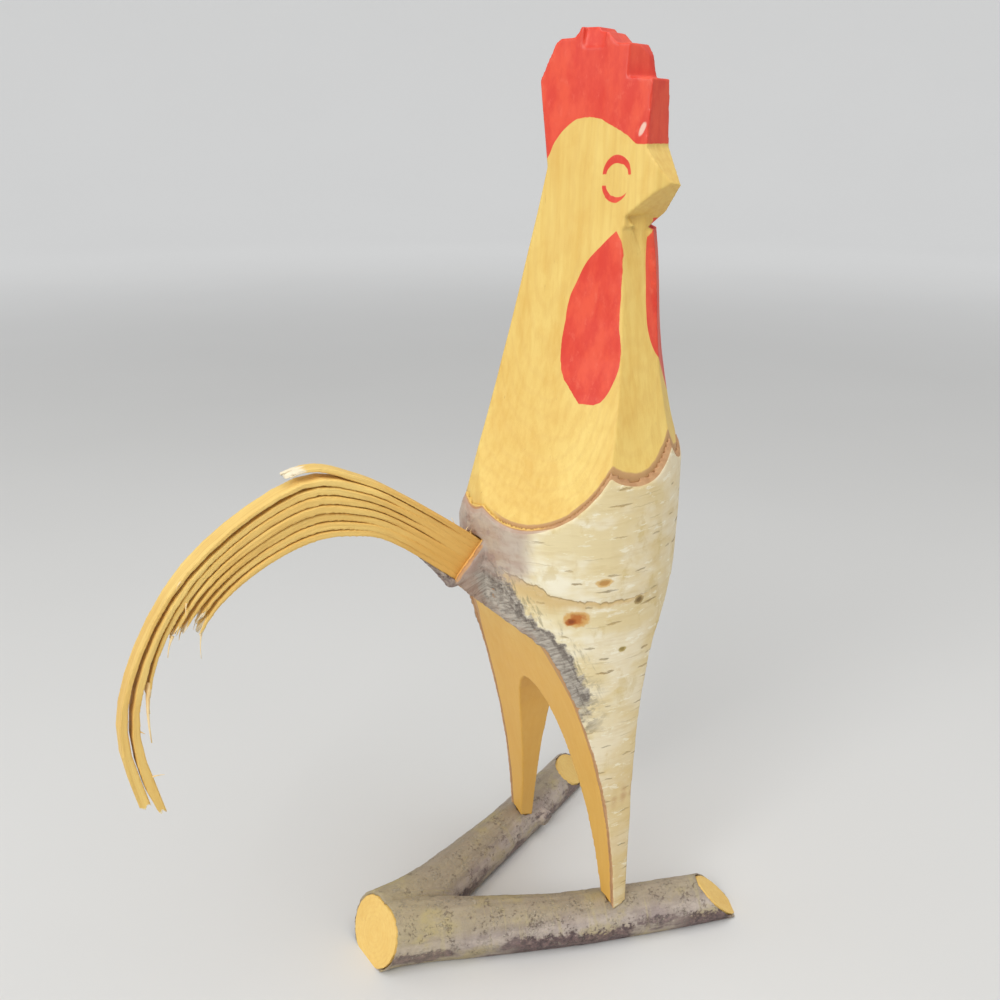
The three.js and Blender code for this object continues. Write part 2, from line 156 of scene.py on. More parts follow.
def finish_piece(piece, slot, *nodes):
    smooth_faces(piece)
    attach(piece, "root")
    if nodes:
        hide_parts(*nodes)
    return piece


def ease(low, high, value):
    t = min(max((value - low) / (high - low), 0), 1)
    return t * t * (3 - 2 * t)


def along_points(points, value):
    """Height of a broken line of (place, height) points at a place."""
    for (a, low), (b, high) in zip(points, points[1:]):
        if value <= b:
            return low + (high - low) * max(value - a, 0) / (b - a)
    return points[-1][1]


def log_radius(z):
    return LEG_RADIUS + (LOG_RADIUS - LEG_RADIUS) * min(max((z - CROTCH) / (NECKLINE - CROTCH), 0), 1)


def bark_depth(p):
    """How deep a place lies below the bark's outer face."""
    return log_radius(p.z) - math.hypot(p.x, p.y)


# Carved bird

HEAD_FRAME = Matrix.Translation(LOG_MIDDLE * MM) @ Matrix.Rotation(HEAD_TURN, 4, "Z") @ Matrix.Scale(MM, 4)
# Knife cuts on the head, in (forward, left, height): the inmost corner of the cut and the three edges from it
HEAD_CUTS = [
    ((15.8, -14.4, 286.2), (9.4, 28.5, 0), (20, -6.6, 0), (0, 0, 20)),  # step before the comb's high teeth
    ((5.1, -6.05, 294), (6.4, 0.7, 0), (0, -6, 0), (0, 2.2, 6)),  # slice off the highest tooth
    ((11.4, -5.8, 291.5), (-3, -3, 0), (3, -3, 0), (0.9, 1.5, 8.5)),  # notches between the teeth
    ((3.4, -6.55, 293), (-3, -3, 0), (3, -3, 0), (0.1, 1.3, 7.5)),
    ((15.6, -5.4, 291), (-3, -3, 0), (3, -3, 0), (0.3, 1.0, 6)),
    ((-3.3, -15, 295.4), (0, 30, 0), (-15, 0, 0), (-6.5, 0, -13.8)),  # slope behind the comb's rear tooth
    ((19.3, -11, 249.2), (8, 24.8, 0.3), (21.6, 6.6, 17), (1.8, -0.3, -9)),  # underside of the beak
    ((23.5, -1.2, 239), (1.9, -9, 0), (6, 8, 0), (-3.4, -2.1, 10.7)),  # hollow below it
]


def cut_head(piece):
    """Takes the knife cuts out of a piece."""
    for corner, *edges in HEAD_CUTS:
        shape = bmesh.new()
        skew = Matrix(edges).transposed().to_4x4()
        matrix = HEAD_FRAME @ Matrix.Translation(corner) @ skew @ Matrix.Translation((0.5, 0.5, 0.5))
        bmesh.ops.create_cube(shape, size=1, matrix=matrix)
        bmesh.ops.recalc_face_normals(shape, faces=shape.faces)
        knife = piece_from(shape, "knife")
        cut = piece.modifiers.new("cut", "BOOLEAN")
        cut.object = knife
        cut.operation = "DIFFERENCE"
        cut.solver = "EXACT"
        settle(piece)
        bpy.data.objects.remove(knife)


LEFT_THROAT_WAY = (HEAD_FORWARD * 0.92 + HEAD_LEFT * 0.39).normalized()


def knife_marks(p, normal):
    """Shallow flats left by the knife, none where the bark lies on, and the fuller far side of the throat."""
    broad = noise.noise((p.x * 0.07, p.y * 0.07, p.z * 0.035))
    short = noise.noise((p.x * 0.16 + 9, p.y * 0.16, p.z * 0.09))
    clear = max(ease(188, 196, p.z), ease(2.2, 5, bark_depth(p)))
    throat = 1.8 * ease(205, 240, p.z) * ease(249, 247, p.z) * ease(0.9, 0.97, normal.dot(LEFT_THROAT_WAY))
    return clear * (0.16 * broad + 0.07 * short) + throat


carved_bird = piece_from(merged_shape("carved_log"), "carved_bird")
cut_head(carved_bird)
refine(carved_bird, *BIRD_MESH)
push(carved_bird, knife_marks)
finish_piece(carved_bird, "birch_wood", "carved_log")


# Bark jacket

PEEL_LOW = 136.5  # lower edge of the loose outer layer, towards the breast
PEEL_RISE = 9.5  # what that edge climbs towards the tail


def peel_height(p):
    """Lower edge of the loose outer bark layer, at a place round the log."""
    across = NEAR_WAY.dot(p)
    wave = 1.6 * noise.noise((across * 0.12, 3.0, 0.5)) + 0.7 * noise.noise((across * 0.45, 8.0, 0.5))
    return PEEL_LOW + PEEL_RISE * ease(6, -28, across) + wave


def bark_relief(p, normal):
    outer = ease(0.9, 0.3, bark_depth(p))
    ridge = ease(-0.5, 2.5, along_points(RIDGE_EDGE, p.z) - p.x) * ease(92, 101, p.z)
    along, across = RIDGE_WAY.dot(p), RIDGE_ACROSS.dot(p)
    strokes = noise.noise((across * 0.2, p.y * 0.4, along * 0.9))
    crust = noise.noise((p.x * 0.4, p.y * 0.4, p.z * 0.4))
    rough = ridge * (0.1 + 0.3 * strokes + 0.35 * crust)
    layer = 0.2 * ease(-0.35, 0.35, p.z - peel_height(p)) * (1 - ridge)
    swell = 0.25 * noise.noise((p.x * 0.05, p.y * 0.05, p.z * 0.06))
    crease = 0.06 * noise.noise((p.x * 0.1, p.y * 0.1, p.z * 0.9))
    return outer * (rough + layer + (swell + crease) * (1 - ridge))


trunk_jacket = piece_from(merged_shape("trunk_bark"), "trunk_jacket")
refine(trunk_jacket, *JACKET_MESH)
push(trunk_jacket, bark_relief)
seat_on(trunk_jacket, "carved_log")
finish_piece(trunk_jacket, "birch_bark", "trunk_bark")


# Forked twig

RIGHT_ARM_WAY = Vector((0.957, -0.29, 0))
LEFT_ARM_WAY = Vector((0.91, 0.415, 0))
KNUCKLE = Vector((14, -33, 6))  # swelling on the right arm below the leg


def twig_relief(p, normal):
    way = RIGHT_ARM_WAY if p.y < 4 else LEFT_ARM_WAY
    along = way.dot(p)
    lumps = noise.noise((p.x * 0.06, p.y * 0.06, p.z * 0.1))
    rings = noise.noise((along * 0.35, p.y * 0.05, p.z * 0.05))
    crust = noise.noise((p.x * 0.8, p.y * 0.8, p.z * 0.8))
    swelling = 0.9 * ease(10, 3, (p - KNUCKLE).length)
    sole = ease(0.3, 1.5, p.z)
    return sole * (0.35 * lumps - 0.3 + 0.14 * rings + 0.12 * crust + swelling)


twig_skin = piece_from(merged_shape("fork_bark"), "twig_skin")
refine(twig_skin, *TWIG_MESH)
push(twig_skin, twig_relief)
seat_on(twig_skin, "fork_wood")
finish_piece(twig_skin, "twig_bark", "fork_bark")


# Split tail

# Run along the strips at which each slit opens, from the top down
SLIT_STARTS = [16, 36, 27, 17, 32, 40, 44]
WIDE_SLIT = 1  # the two longest strips stand apart over the shoulder of the arch
TORN_LENGTH = 6.5  # pale torn end of the uppermost strip
BLUNT_LENGTH = 0.9  # pale end of the others
ROOT_HELD = (14, 34)  # run over which a strip comes free of the root
ROOM_REACH = 12  # points on either side that even out the room between strips


def upward(way):
    """Square to a fibre, towards the top of the arch."""
    return Vector((way.z, 0, -way.x))


def middle_line(node):
    """Points along the middle of a splint, from its seat in the branch to its tip."""
    shape = merged_shape(node)
    shape.normal_update()
    side = max(v.co.y for v in shape.verts) - 1e-5
    rim = []
    for edge in shape.edges:
        on_side = min(v.co.y for v in edge.verts) > side
        if on_side and min(abs(f.normal.y) for f in edge.link_faces) < 0.1:
            rim.append(edge)
    seat = max(rim, key=lambda e: e.verts[0].co.x + e.verts[1].co.x)
    outline = [seat.verts[0]]
    step = next(e for e in rim if e is not seat and outline[0] in e.verts)
    while step is not seat:
        outline.append(step.other_vert(outline[-1]))
        step = next(e for e in rim if e is not step and outline[-1] in e.verts)
    middle = (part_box(node)[0].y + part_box(node)[1].y) / 2
    line = []
    for i in range(len(outline) // 2):
        between = (outline[i].co + outline[-1 - i].co) / 2
        line.append(Vector((between.x, middle, between.z)))
    shape.free()
    return dense(line)


def dense(line, gap=0.4):
    points = []
    for a, b in zip(line, line[1:]):
        count = max(int((b - a).length / (gap * MM)), 1)
        points += [a.lerp(b, i / count) for i in range(count)]
    return points + [line[-1]]


def finder_of(points):
    finder = kdtree.KDTree(len(points))
    for i, p in enumerate(points):
        finder.insert(p, i)
    finder.balance()
    return finder


def room_beside(points, neighbour):
    """Half of the way to the next strip, or the usual half thickness where that one has ended."""
    if neighbour is None:
        return [SPLINT_HALF] * len(points)
    finder = finder_of(neighbour)
    room = []
    for p in points:
        _, index, away = finder.find(p)
        room.append(away / 2 / MM if index < len(neighbour) - 2 else SPLINT_HALF)
    windows = [room[max(i - ROOM_REACH, 0):i + ROOM_REACH + 1] for i in range(len(room))]
    return [sum(window) / len(window) for window in windows]


class Strip:
    """One strip of the tail: its middle line, the way of its fibres and the room beside it."""

    def __init__(self, order, lines):
        self.order = order
        self.points = lines[order]
        self.finder = finder_of(self.points)
        self.above = room_beside(self.points, lines[order - 1] if order else None)
        self.below = room_beside(self.points, lines[order + 1] if order + 1 < len(lines) else None)
        self.lengths = [0.0]
        for a, b in zip(self.points, self.points[1:]):
            self.lengths.append(self.lengths[-1] + (b - a).length / MM)
        self.whole = self.lengths[-1]

    def way(self, index):
        last = len(self.points) - 1
        return (self.points[min(index + 2, last)] - self.points[max(index - 2, 0)]).normalized()

    def place(self, spot):
        """Run along the strip, height over its middle, fibre way, upward way and nearest index."""
        flat = Vector((spot.x, self.points[0].y, spot.z))
        _, index, _ = self.finder.find(flat)
        way = self.way(index)
        up = upward(way)
        offset = flat - self.points[index]
        return self.lengths[index] + offset.dot(way) / MM, offset.dot(up) / MM, way, up, index

    def half(self, index, upper):
        """Half thickness on one side as a share of the CAD size: joined at the root, then parted."""
        run = self.lengths[index]
        share = run / self.whole
        room = (self.above if upper else self.below)[index]
        slit = self.order - 1 if upper else self.order
        plain = SPLINT_HALF + (SPLINT_ENDS[self.order] / 2 - SPLINT_HALF) * ease(0.75, 1, share)
        if not 0 <= slit < len(SLIT_STARTS):
            return 1
        start = SLIT_STARTS[slit]
        parted = ease(start, start + 16, run)
        opened = room * (0.92 + 0.05 * noise.noise((run * 0.06, slit * 5.1, 0.5)))
        if slit == 0:
            opened += (plain * 0.85 - opened) * ease(58, 80, run)
        elif slit == WIDE_SLIT:
            opened = min(room * (0.97 - 0.42 * ease(62, 88, run) * ease(185, 150, run)), 2.6)
        else:
            opened += (plain - opened) * ease(0.7, 0.95, share)
        joined = room + 0.3
        return (joined + (opened - joined) * parted) / plain


def weather(piece, strip):
    """Gives a strip its uneven edges and torn end, and stores the way of its fibres and its torn wood."""
    piece.data.attributes.new("fibre", "FLOAT_VECTOR", "POINT")
    piece.data.attributes.new("torn", "FLOAT", "POINT")
    fibre, torn = piece.data.attributes["fibre"], piece.data.attributes["torn"]
    seed = strip.order * 7.3
    middle = strip.points[0].y
    pale = TORN_LENGTH if strip.order == 0 else BLUNT_LENGTH
    ragged = 3 if strip.order in (1, 2) else 9
    for v in piece.data.vertices:
        run, thick, way, up, index = strip.place(v.co)
        wide = (v.co.y - middle) / MM
        share = run / strip.whole
        free = ease(*ROOT_HELD, run)
        left = strip.whole - run
        fibre.data[v.index].vector = (wide, thick + 3 * strip.order, run)
        torn.data[v.index].value = ease(pale, pale * 0.6, left + 1.4 * noise.noise((wide, thick, seed)))
        narrow = 1.05 - 0.2 * ease(0.3, 1, share) + 0.06 * free * noise.noise((run * 0.05, seed, 1.0))
        grow = strip.half(index, thick > 0) - 0.1 * free * abs(noise.noise((run * 0.05, seed, 5.0)))
        wander = free * 0.7 * noise.noise((run * 0.018, seed, 9.0))
        fray = free * 0.16 * noise.noise((run * 0.12, wide * 0.8, thick * 2 + seed))
        lift = 0.7 * ease(24, 0, left) if strip.order == 0 else 0
        jag = max(noise.noise((wide * 0.55, thick * 1.5, seed)) + 0.2, 0)
        tear = ease(ragged, 0, left) * ragged * 0.7 * jag
        v.co.y = middle + (wide * narrow + wander + fray) * MM
        v.co += up * (thick * (grow - 1) + lift) * MM - way * tear * MM
    piece.data.update()


splint_lines = [middle_line(node) for node in TAIL_SPLINTS]
strips = [Strip(order, splint_lines) for order in range(len(TAIL_SPLINTS))]
split_strips = []
for strip, node in zip(strips, TAIL_SPLINTS):
    split_strip = piece_from(merged_shape(node), f"split_strip_{strip.order + 1}")
    refine(split_strip, *STRIP_MESH)
    weather(split_strip, strip)
    split_strips.append(finish_piece(split_strip, "splint_wood", node))

# Slivers that stand off the strips:
# strip, share of its length, side, length, way off the strip, way along it, half width
SLIVERS = [
    (7, 0.985, -1.5, 8, -0.25, 1, 0.32), (6, 0.98, 0.5, 5, -0.1, 1, 0.32), (2, 0.93, -2.2, 4, -1, -0.1, 0.36),
    (2, 0.845, -2.4, 2, -1, 0.5, 0.4), (3, 0.97, -1.6, 17, 0.02, 1, 0.9), (3, 0.975, 0.8, 11, -0.05, 1, 0.7),
    (0, 0.2, -2, 3, 0.6, 0.8, 0.3), (0, 0.235, -2.6, 2.6, 0.8, 0.6, 0.3), (0, 0.26, 1.4, 3, 0.5, 0.9, 0.3),
    (4, 0.985, -2, 6, 0.05, 1, 0.5), (5, 0.99, 1.2, 5, -0.15, 1, 0.45), (1, 0.62, -3, 3, 0.25, 1, 0.3),
    (3, 0.8, -3, 4, -0.3, 1, 0.3),
]
SLIVER_STEPS = 4


def torn_slivers():
    """Thin torn fibres, each drawn out of a small ring to a point."""
    shape = bmesh.new()
    for order, share, side, length, off, along, wide in SLIVERS:
        strip = strips[order]
        index = int(share * (len(strip.points) - 1))
        way = strip.way(index)
        up = upward(way)
        heading = (way * along + up * off + Vector((0, 0.12 * side, 0))).normalized()
        root = strip.points[index] + Vector((0, side * MM, 0)) + up * math.copysign(0.3, off) * MM
        ring = bmesh.ops.create_circle(shape, cap_ends=True, radius=wide * MM, segments=8)["verts"]
        turn = heading.to_track_quat("Z", "Y").to_matrix()
        bmesh.ops.rotate(shape, verts=ring, matrix=turn)
        bmesh.ops.translate(shape, verts=ring, vec=root)
        tip = [ring[0].link_faces[0]]
        for step in range(SLIVER_STEPS):
            grown = bmesh.ops.extrude_face_region(shape, geom=tip)["geom"]
            points = [g for g in grown if isinstance(g, bmesh.types.BMVert)]
            if step:
                bmesh.ops.delete(shape, geom=tip, context="FACES_ONLY")
            tip = [g for g in grown if isinstance(g, bmesh.types.BMFace)]
            bend = heading + Vector((0.07, 0.04 * side, -0.09)) * step
            bmesh.ops.translate(shape, verts=points, vec=bend.normalized() * length / SLIVER_STEPS * MM)
            centre = sum((v.co for v in points), Vector()) / len(points)
            for v in points:
                v.co = centre.lerp(v.co, 0.66)
    bmesh.ops.recalc_face_normals(shape, faces=shape.faces)
    return finish_piece(piece_from(shape, "torn_slivers"), "splint_wood")


slivers = torn_slivers()


UNDERBARK_START = 11.5  # along the lowest strip
UNDERBARK_LENGTH = 17
UNDERBARK_WIDTH = 8.6
UNDERBARK_DEPTH = 3.2


def tail_underbark():
    """Rough bark left on the underside of the tail's root, thinning to an edge."""
    shape = bmesh.new()
    bmesh.ops.create_grid(shape, x_segments=36, y_segments=20, size=0.5)
    flake = bmesh.ops.extrude_face_region(shape, geom=shape.faces[:])["geom"]
    lower = {v for v in flake if isinstance(v, bmesh.types.BMVert)}
    strip = strips[-1]
    for v in shape.verts:
        share, across = v.co.x + 0.5, v.co.y
        run = UNDERBARK_START + share * UNDERBARK_LENGTH
        index = min(range(len(strip.points)), key=lambda i: abs(strip.lengths[i] - run))
        way = strip.way(index)
        up = upward(way)
        crust = noise.noise((run * 0.7, across * 5, 2.0)) + 0.6 * noise.noise((run * 1.9, across * 14, 5.0))
        edge = 1 - 0.55 * share + 0.12 * noise.noise((run * 0.5, math.copysign(3, across), 1.0))
        depth = 0.1
        if v in lower:
            crown = math.cos(across * math.pi * 0.8)
            depth = 0.2 + (UNDERBARK_DEPTH * (1 - share) ** 1.4 + 0.35 * crust * (1 - 0.6 * share)) * crown
        v.co = strip.points[index] - up * (SPLINT_HALF + max(depth, 0.12) - 0.15) * MM
        v.co.y += across * UNDERBARK_WIDTH * edge * MM
    bmesh.ops.recalc_face_normals(shape, faces=shape.faces)
    return finish_piece(piece_from(shape, "tail_underbark"), "birch_bark")


underbark = tail_underbark()


# Materials

def tint(red, green, blue):
    """A paint-chart colour, 0 to 255, as the shader takes it."""
    def line(c):
        c /= 255
        return c / 12.92 if c <= 0.04045 else ((c + 0.055) / 1.055) ** 2.4
    return (line(red), line(green), line(blue), 1)


class Bench:
    """Lays nodes into one tree and wires them."""

    def __init__(self, tree):
        self.tree = tree

    def add(self, kind, feeds=(), **settings):
        node = self.tree.nodes.new(kind)
        for name, value in settings.items():
            setattr(node, name, value)
        for key, value in dict(feeds).items():
            self.feed(node.inputs[key], value)
        return node

    def feed(self, socket, value):
        if isinstance(value, bpy.types.NodeSocket):
            self.tree.links.new(value, socket)
        else:
            socket.default_value = value

    def math(self, operation, *values, clamp=False):
        node = self.add("ShaderNodeMath", dict(enumerate(values)), operation=operation, use_clamp=clamp)
        return node.outputs[0]

    def times(self, *values):
        product = values[0]
        for value in values[1:]:
            product = self.math("MULTIPLY", product, value)
        return product

    def plus(self, *values):
        total = values[0]
        for value in values[1:]:
            total = self.math("ADD", total, value)
        return total

    def less(self, value, taken):
        return self.math("SUBTRACT", value, taken)

    def vector(self, operation, *values):
        node = self.add("ShaderNodeVectorMath", operation=operation)
        for i, value in enumerate(values):
            self.feed(node.inputs["Scale"] if operation == "SCALE" and i == 1 else node.inputs[i], value)
        return node.outputs["Value" if operation in ("DOT_PRODUCT", "LENGTH", "DISTANCE") else "Vector"]

    def mix(self, share, first, second, blend="MIX"):
        node = self.add("ShaderNodeMix", {0: share, 6: first, 7: second}, data_type="RGBA", blend_type=blend)
        return node.outputs[2]

    def stain(self, base, mask, share, *colour):
        """Lays a share of a colour over the base where the mask is 1."""
        return self.mix(self.times(mask, share), base, tint(*colour))

    def tones(self, value, low, high, first, second):
        """One colour where a value is low, another where it is high."""
        return self.mix(self.band(value, low, high), tint(*first), tint(*second))

    def either(self, share, first, second):
        """A number between two numbers."""
        return self.add("ShaderNodeMix", {0: share, 2: first, 3: second}, data_type="FLOAT").outputs[0]

    def band(self, value, low, high):
        """0 below low, 1 above high, eased between."""
        feeds = {"Value": value, "From Min": low, "From Max": high}
        return self.add("ShaderNodeMapRange", feeds, interpolation_type="SMOOTHSTEP").outputs["Result"]

    def noise(self, place, scale=1.0, detail=3.0, rough=0.55, bend=0.0):
        feeds = {"Vector": place, "Scale": scale, "Detail": detail, "Roughness": rough, "Distortion": bend}
        return self.add("ShaderNodeTexNoise", feeds).outputs["Fac"]

    def drawn(self, place, scale, turn=(0, 0, 0), shift=(0, 0, 0), **look):
        """Noise drawn out along the axes."""
        return self.noise(self.stretch(place, scale, turn, shift), **look)

    def stretch(self, place, scale=(1, 1, 1), turn=(0, 0, 0), shift=(0, 0, 0)):
        feeds = {"Vector": place, "Scale": scale, "Rotation": turn, "Location": shift}
        return self.add("ShaderNodeMapping", feeds).outputs["Vector"]

    def split(self, place):
        return self.add("ShaderNodeSeparateXYZ", {"Vector": place}).outputs

    def join(self, x, y, z):
        return self.add("ShaderNodeCombineXYZ", {0: x, 1: y, 2: z}).outputs[0]

    def curve(self, value, points, low, high):
        """A line through (place, height) points; low and high are the ends of both ranges."""
        share = self.math("DIVIDE", self.less(value, low[0]), high[0] - low[0])
        node = self.add("ShaderNodeFloatCurve", {"Value": share})
        scaled = [((a - low[0]) / (high[0] - low[0]), (b - low[1]) / (high[1] - low[1])) for a, b in points]
        line = node.mapping.curves[0].points
        line[0].location = scaled[0]
        line[-1].location = scaled[-1]
        for place in scaled[1:-1]:
            line.new(*place)
        node.mapping.extend = "HORIZONTAL"
        node.mapping.update()
        return self.plus(self.times(node.outputs["Value"], high[1] - low[1]), low[1])

    def rings(self, radial, rate):
        """Year rings, 0 to 1 and back."""
        return self.times(self.plus(self.math("SINE", self.times(radial, rate)), 1.0), 0.5)

    def from_bark(self, x, y, z):
        """Distance from the log's middle line, and depth below the bark's outer face."""
        radial = self.math("SQRT", self.plus(self.times(x, x), self.times(y, y)))
        feeds = {"Value": z, "From Min": CROTCH, "From Max": NECKLINE}
        climb = self.add("ShaderNodeMapRange", feeds).outputs["Result"]
        outer = self.plus(self.times(climb, LOG_RADIUS - LEG_RADIUS), LEG_RADIUS)
        return radial, self.less(outer, radial)


def timber_grain(b, place, light, dark, fleck):
    """Fibres along Z in millimetres: broad tone, fine streaks and short brown flecks."""
    tone = b.drawn(place, (0.06, 0.06, 0.022), detail=4)
    streak = b.drawn(place, (0.55, 0.55, 0.012), detail=5, rough=0.6, bend=0.3)
    fibre = b.drawn(place, (2.6, 2.6, 0.05), detail=4, rough=0.6)
    flecks = b.band(b.drawn(place, (1.1, 1.1, 0.13), detail=2), 0.7, 0.8)
    depth = b.plus(b.times(b.band(tone, 0.3, 0.72), 0.6), b.times(b.band(streak, 0.35, 0.7), 0.4))
    colour = b.mix(depth, tint(*light), tint(*dark))
    colour = b.stain(colour, b.band(fibre, 0.45, 0.7), 0.16, *dark)
    return {
        "Colour": b.stain(colour, flecks, 0.4, *fleck),
        "Height": b.plus(b.times(fibre, 0.6), b.times(streak, 0.4)),
        "Sheen": b.plus(b.times(streak, 0.18), 0.45),
    }


def bark_crumbs(b, place, size, cover):
    """Scattered small crumbs and specks, as a mask."""
    scaled = b.vector("SCALE", place, 1 / size)
    fine = b.noise(scaled, 1, 4, 0.7)
    patch = b.noise(scaled, 0.17, 2)
    level = b.plus(fine, b.times(b.less(patch, 0.5), 0.6))
    low = 0.78 - cover * 0.5
    return b.band(level, low, low + 0.09)


def new_material(name):
    material = bpy.data.materials.new(name)
    material.use_nodes = True
    bench = Bench(material.node_tree)
    shader = material.node_tree.nodes["Principled BSDF"]
    place = bench.add("ShaderNodeTexCoord").outputs["Object"]
    from_middle = bench.stretch(place, (1 / MM,) * 3, shift=-LOG_MIDDLE)
    return material, bench, shader, from_middle


def surface(b, shader, colour, roughness, height, depth):
    """Colour, roughness and relief of a material; depth is that of the relief in millimetres."""
    bump = b.add("ShaderNodeBump", {"Strength": 1.0, "Distance": depth * MM, "Height": height})
    look = {"Base Color": colour, "Roughness": roughness, "Normal": bump.outputs["Normal"]}
    for key, value in look.items():
        b.feed(shader.inputs[key], value)


def wear(piece, material):
    piece.data.materials.clear()
    piece.data.materials.append(material)


def ellipse(b, across, up, centre, radii):
    """How far out a place lies from an ellipse's middle, 1 on its line."""
    x = b.math("DIVIDE", b.less(across, centre[0]), radii[0])
    y = b.math("DIVIDE", b.less(up, centre[1]), radii[1])
    return b.math("SQRT", b.plus(b.times(x, x), b.times(y, y)))


# Painted places on the head: (forward of the log's middle, height)
COMB_LINE = [
    (-16, 261), (-5, 264.5), (-2.2, 269.4), (2.3, 274.2), (5.6, 275.8), (9.9, 275.8),
    (15.1, 273.9), (19.8, 271.3), (23.2, 268.9), (26.1, 269), (30, 271),
]
COMB_SPAN = ((-16, 258), (30, 280))
# Each lid of the eye lies inside its first ellipse and outside its second: (forward, height), (radii)
UPPER_LID = [((17.55, 261), (4.2, 5.1)), ((17.7, 260.7), (3.3, 3.1))]
LOWER_LID = [((17.1, 257.6), (3.9, 4.35)), ((17.9, 258), (3.6, 3.25))]
# Wattles: (height, forward of the log's middle)
WATTLE_BACK = [
    (195, 13.5), (196, 12.6), (200, 8.9), (205.2, 5.5), (211.9, 4.6), (218.6, 4.9), (225.9, 5.7),
    (230.4, 7.4), (236, 9.9), (241.1, 14.2), (245.6, 18.6), (248, 21),
]
WATTLE_FRONT = [
    (195, 17), (196, 18), (197.1, 19.9), (203.2, 22.9), (208.8, 23.9), (220.1, 22.1), (228.7, 21.7),
    (236.7, 21.2), (241.5, 20.6), (245.6, 18.6), (248, 16),
]
# The far wattle runs on over the throat: (height, left of the head's middle)
WATTLE_THROAT = [
    (195, 16), (197, 14), (201, 10), (206.7, 4), (210.7, 0), (215.9, -1.4), (223.7, -1.4),
    (231.3, -0.6), (239.3, 0.3), (244, 1.5), (248, 3.8),
]
WATTLE_SPAN = ((195, 0), (248, 30))
THROAT_SPAN = ((195, -5), (248, 20))
WATTLE_FOOT = 195.7
WATTLE_TOP = 245.6
FAR_WATTLE_TOP = 248.6
PALE_SPOT = ((24.2, 272.8), (0.85, 1.9))
PALE_SPOT_LEAN = 0.35


def red_paint(b, p):
    """Masks of the painted places and of a pale pinkish-white spot on the paint."""
    forward, side, up = b.split(b.stretch(p, turn=(0, 0, -HEAD_TURN)))
    wobble = b.times(b.less(b.noise(p, 0.35), 0.5), 0.8)
    up = b.plus(up, wobble)
    forward = b.plus(forward, b.times(wobble, 0.6))
    comb = b.band(b.less(up, b.curve(forward, COMB_LINE, *COMB_SPAN)), -0.12, 0.12)
    back = b.less(forward, b.curve(up, WATTLE_BACK, *WATTLE_SPAN))
    front = b.less(b.curve(up, WATTLE_FRONT, *WATTLE_SPAN), forward)
    throat = b.less(side, b.curve(up, WATTLE_THROAT, *THROAT_SPAN))
    near_side = b.band(side, -3, -5)
    top = b.either(near_side, FAR_WATTLE_TOP, WATTLE_TOP)
    above_foot = b.band(up, WATTLE_FOOT - 0.15, WATTLE_FOOT + 0.15)
    limits = b.times(above_foot, b.band(b.less(up, top), 0.15, -0.15))
    near = b.times(near_side, b.band(b.math("MINIMUM", back, front), -0.12, 0.12))
    far = b.times(b.less(1.0, near_side), b.band(b.math("MINIMUM", back, throat), -0.12, 0.12))
    wattles = b.times(limits, b.math("ADD", near, far, clamp=True))
    lids = []
    for lid, rim in ((UPPER_LID, b.band(up, 260.7, 261.1)), (LOWER_LID, b.band(up, 257.9, 257.5))):
        outside = b.band(ellipse(b, forward, up, *lid[0]), 1.03, 0.97)
        inside = b.band(ellipse(b, forward, up, *lid[1]), 0.96, 1.03)
        lids.append(b.times(outside, inside, rim))
    mask = b.math("MAXIMUM", b.math("MAXIMUM", comb, wattles), b.math("MAXIMUM", *lids))
    # a pale pinkish-white spot on the near side of the comb's paint, slanted and ragged
    leaning = b.less(forward, b.times(b.less(up, PALE_SPOT[0][1]), PALE_SPOT_LEAN))
    spot_reach = b.plus(ellipse(b, leaning, up, *PALE_SPOT), b.times(wobble, 0.5))
    pale_spot = b.times(b.band(spot_reach, 1.15, 0.6), near_side)
    return mask, pale_spot


RING_RATE = 3.1  # year rings of the log, radians for each millimetre
TWIG_RING_RATE = 4.2


def carved_birch():
    material, b, shader, p = new_material("carved_birch")
    x, y, z = b.split(p)
    warp = b.times(b.drawn(p, (0.05, 0.05, 0.018)), 9)
    radial, depth = b.from_bark(x, y, z)
    rings = b.rings(b.plus(radial, warp), RING_RATE)
    grain = timber_grain(b, p, (241, 211, 122), (226, 184, 92), (176, 124, 62))
    ringed = b.stain(grain["Colour"], b.band(rings, 0.55, 1.0), 0.1, 206, 152, 74)
    chatter = b.drawn(p, (0.12, 0.12, 0.1), shift=(4, 8, 2), detail=4, rough=0.6)
    ringed = b.stain(ringed, b.band(chatter, 0.5, 0.68), 0.25, 222, 172, 78)
    # painted shade: the wood of the legs and the scoop between them is turned a deeper orange
    leg_shade = b.band(z, 150, 100)
    warm = b.stain(ringed, leg_shade, 0.7, 228, 170, 74)
    stub = b.times(b.band(x, -34, -37), b.band(z, 175, 165))
    warm = b.mix(stub, warm, tint(232, 176, 92))
    scoop = b.times(b.band(z, 98, 114), b.band(z, 150, 142), b.band(x, 4, -4))
    wane = b.plus(b.times(scoop, 1.5), b.times(b.noise(p, 0.2), 0.5), 1.7)
    under_bark = b.times(b.band(b.less(depth, wane), 0.12, -0.12), b.band(z, 192, 188), b.band(x, -34, -32))
    warm = b.stain(warm, under_bark, 0.9, 192, 146, 100)
    paint, pale_spot = red_paint(b, p)
    brush = b.drawn(p, (0.16, 0.16, 0.07), detail=4, rough=0.6)
    worn = b.drawn(p, (0.5, 0.5, 0.3), detail=4, rough=0.65)
    red = b.tones(brush, 0.36, 0.66, (222, 62, 44), (236, 86, 58))
    rubbed = b.stain(red, b.band(worn, 0.56, 0.72), 0.3, 242, 116, 88)
    red_with_spot = b.stain(rubbed, pale_spot, 0.9, 244, 206, 184)
    painted = b.plus(b.times(worn, 0.3), 0.24)
    gloss = b.either(paint, b.plus(grain["Sheen"], 0.02), painted)
    fibre = b.times(grain["Height"], b.less(1.0, b.times(paint, 0.7)))
    height = b.plus(fibre, b.times(paint, 0.6), b.times(pale_spot, -0.8))
    surface(b, shader, b.mix(paint, warm, red_with_spot), gloss, height, 0.12)
    return material


